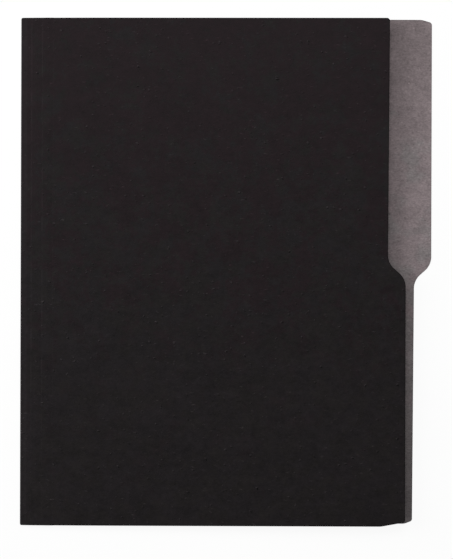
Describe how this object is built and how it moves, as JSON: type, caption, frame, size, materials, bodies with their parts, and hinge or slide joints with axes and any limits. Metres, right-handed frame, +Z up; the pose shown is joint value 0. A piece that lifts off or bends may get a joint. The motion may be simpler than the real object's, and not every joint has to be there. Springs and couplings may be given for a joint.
{
  "type": "file folder",
  "caption": "Letter-size file folder with a half-cut index tab, scored spine and a cover hinged at the main fold.",
  "frame": {"origin": "centre of the folded folder's outline in plan, on the plane that the rear leaf's underside rests on", "axes": "+X from the main fold to the index tab, +Y along the fold towards the end that has the tab, +Z up out of the closed cover"},
  "size_m": [0.2413, 0.2976, 0.0066],
  "materials": {
    "rear_board": "matte",
    "outer_board": "matte"
  },
  "bodies": {
    "rear": {"rear_leaf": "rear_board"},
    "spine": {"main_fold": "outer_board", "spine_strip_1": "outer_board", "score_crease_1": "outer_board", "spine_strip_2": "outer_board", "score_crease_2": "outer_board", "spine_strip_3": "outer_board"},
    "front": {"score_crease_3": "outer_board", "front_leaf": "outer_board"}
  },
  "joints": [
    {"name": "cover_opening", "type": "hinge", "parent": "rear", "child": "spine", "pos_m": [-0.1198, 0, 0.00085], "axis": [0, -1, 0], "range_deg": [0, 177.5], "deforming": ["main_fold"]},
    {"name": "cover_turning", "type": "hinge", "parent": "spine", "child": "front", "pos_m": [-0.10163, 0, 0.00206], "axis": [0, -1, 0], "range_deg": [0, 90], "deforming": ["score_crease_3"]}
  ]
}
